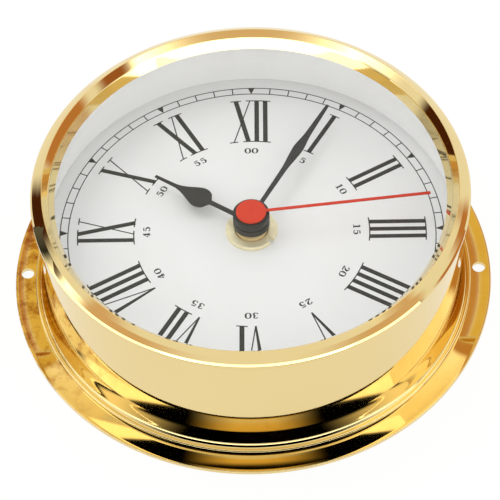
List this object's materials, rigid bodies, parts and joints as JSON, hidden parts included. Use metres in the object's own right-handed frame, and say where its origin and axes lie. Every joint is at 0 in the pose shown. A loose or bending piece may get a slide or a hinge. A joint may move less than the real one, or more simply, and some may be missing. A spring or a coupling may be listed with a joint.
{
  "type": "marine clock",
  "caption": "Round polished brass ship's clock with a screw-down back flange, domed bezel, glass, Roman numeral dial, three hands and a quartz movement behind the dial.",
  "frame": {"origin": "centre of the flange's back face, where the clock lies on a table or meets a bulkhead", "axes": "+Z out through the dial, +Y to 12 o'clock, +X to 3 o'clock"},
  "size_m": [0.12, 0.12, 0.0365],
  "materials": {
    "polished_brass": "mirror polished, lacquered",
    "satin_brass": "fine turned, unpolished",
    "clear_glass": "clear flat window glass",
    "white_rubber": "matte silicone",
    "white_paint": "gloss white paint",
    "dial_paint": "satin off-white paint with printed dark grey numerals",
    "black_plastic": "fine grained moulded ABS",
    "ivory_plastic": "moulded acetal",
    "black_paint": "matte dark grey paint",
    "red_paint": "satin orange-red paint",
    "black_rubber": "matte",
    "steel": "nickel plated",
    "copper_wire": "enamelled copper wire",
    "grey_magnet": "sintered magnet",
    "green_board": "solder mask",
    "battery_jacket": "plain printed steel jacket"
  },
  "bodies": {
    "root": {"case_body": "polished_brass", "bezel": "polished_brass", "glass": "clear_glass", "glass_gasket": "white_rubber", "rehaut_ring": "white_paint", "dial": "dial_paint", "back_cover": "black_plastic", "cover_screw_1": "steel", "cover_screw_2": "steel", "cover_screw_3": "steel", "movement_front_shell": "black_plastic", "movement_back_shell": "black_plastic", "threaded_bush": "satin_brass", "rubber_washer": "black_rubber", "dial_nut": "satin_brass", "wheel_bridge": "black_plastic", "battery": "battery_jacket", "battery_contact_positive": "steel", "battery_contact_negative": "steel", "circuit_board": "green_board", "quartz_crystal": "steel", "ic_chip": "black_plastic", "stator": "steel", "coil_core": "steel", "coil_bobbin": "ivory_plastic", "coil_winding": "copper_wire"},
    "second_hand": {"seconds_wheel": "ivory_plastic", "seconds_arbor": "steel", "second_hand": "red_paint"},
    "rotor": {"rotor_magnet": "grey_magnet", "rotor_pinion": "ivory_plastic"},
    "intermediate_wheel": {"intermediate_wheel": "ivory_plastic"},
    "third_wheel": {"third_wheel": "ivory_plastic"},
    "centre_wheel": {"centre_wheel": "ivory_plastic"},
    "minute_hand": {"minute_pipe": "ivory_plastic", "minute_hand": "black_paint"},
    "minute_wheel": {"minute_wheel": "ivory_plastic"},
    "hour_hand": {"hour_wheel": "ivory_plastic", "hour_hand": "black_paint"},
    "setting_knob": {"setting_shaft": "ivory_plastic", "setting_knob": "black_plastic"}
  },
  "joints": [
    {"name": "second_hand_turn", "type": "hinge", "parent": "root", "child": "second_hand", "pos_m": [0, 0, 0], "axis": [0, 0, -1], "continuous": true},
    {"name": "rotor_turn", "type": "hinge", "parent": "root", "child": "rotor", "pos_m": [0.0155, -0.0015, 0], "axis": [0, 0, -1], "continuous": true},
    {"name": "intermediate_wheel_turn", "type": "hinge", "parent": "root", "child": "intermediate_wheel", "pos_m": [0.00851, -0.0015, 0], "axis": [0, 0, -1], "continuous": true},
    {"name": "third_wheel_turn", "type": "hinge", "parent": "root", "child": "third_wheel", "pos_m": [-0.00837, 0.00148, 0], "axis": [0, 0, -1], "continuous": true},
    {"name": "centre_wheel_turn", "type": "hinge", "parent": "root", "child": "centre_wheel", "pos_m": [0, 0, 0], "axis": [0, 0, -1], "continuous": true},
    {"name": "minute_hand_turn", "type": "hinge", "parent": "root", "child": "minute_hand", "pos_m": [0, 0, 0], "axis": [0, 0, -1], "continuous": true},
    {"name": "minute_wheel_turn", "type": "hinge", "parent": "root", "child": "minute_wheel", "pos_m": [0.0048, 0.00831, 0], "axis": [0, 0, -1], "continuous": true},
    {"name": "hour_hand_turn", "type": "hinge", "parent": "root", "child": "hour_hand", "pos_m": [0, 0, 0], "axis": [0, 0, -1], "continuous": true},
    {"name": "setting_knob_turn", "type": "hinge", "parent": "root", "child": "setting_knob", "pos_m": [0.01519, 0.01431, 0], "axis": [0, 0, -1], "continuous": true}
  ],
  "couplings": [
    {"joint": "rotor_turn", "follows": "second_hand_turn", "ratio": 30},
    {"joint": "intermediate_wheel_turn", "follows": "second_hand_turn", "ratio": -5},
    {"joint": "third_wheel_turn", "follows": "second_hand_turn", "ratio": -0.13333},
    {"joint": "centre_wheel_turn", "follows": "second_hand_turn", "ratio": 0.016667},
    {"joint": "minute_wheel_turn", "follows": "minute_hand_turn", "ratio": -0.33333},
    {"joint": "hour_hand_turn", "follows": "minute_hand_turn", "ratio": 0.083333},
    {"joint": "setting_knob_turn", "follows": "minute_hand_turn", "ratio": 0.5}
  ]
}
